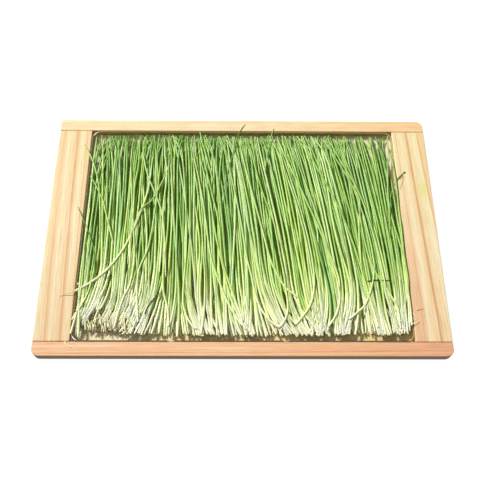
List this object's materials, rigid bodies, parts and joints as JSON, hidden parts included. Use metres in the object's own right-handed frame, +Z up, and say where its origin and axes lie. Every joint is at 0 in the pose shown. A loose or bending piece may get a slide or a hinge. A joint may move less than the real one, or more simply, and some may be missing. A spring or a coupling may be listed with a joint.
{
  "type": "tray of green onion shoots",
  "caption": "Shallow wooden frame tray with a clear plastic liner, filled with a mat of cut green onion shoots, white cut ends at the front and green tips at the back.",
  "frame": {"origin": "centre of the tray's underside, under the centre of the bounding box", "axes": "+Z up; +X along the tray's long side, to the right of the picture; +Y from the white cut ends of the shoots towards their green tips, away from the camera"},
  "size_m": [0.176, 0.119, 0.0055],
  "materials": {
    "cream_wood": "bare planed softwood, cream with thin straight tan grain",
    "peach_wood": "bare planed softwood, peach with a long darker grain line",
    "pale_board": "thin pale board, matte",
    "clear_plastic": "thin clear formed plastic sheet, glossy",
    "shoots": "fresh plant, satin, white at the cut end through yellow-green to green at the tip"
  },
  "bodies": {
    "root": {"base_board": "pale_board", "side_board_left": "cream_wood", "side_board_right": "cream_wood", "end_batten_front": "peach_wood", "end_batten_back": "cream_wood", "liner_tray": "clear_plastic", "shoots_left": "shoots", "shoots_middle": "shoots", "shoots_right": "shoots"}
  },
  "joints": []
}
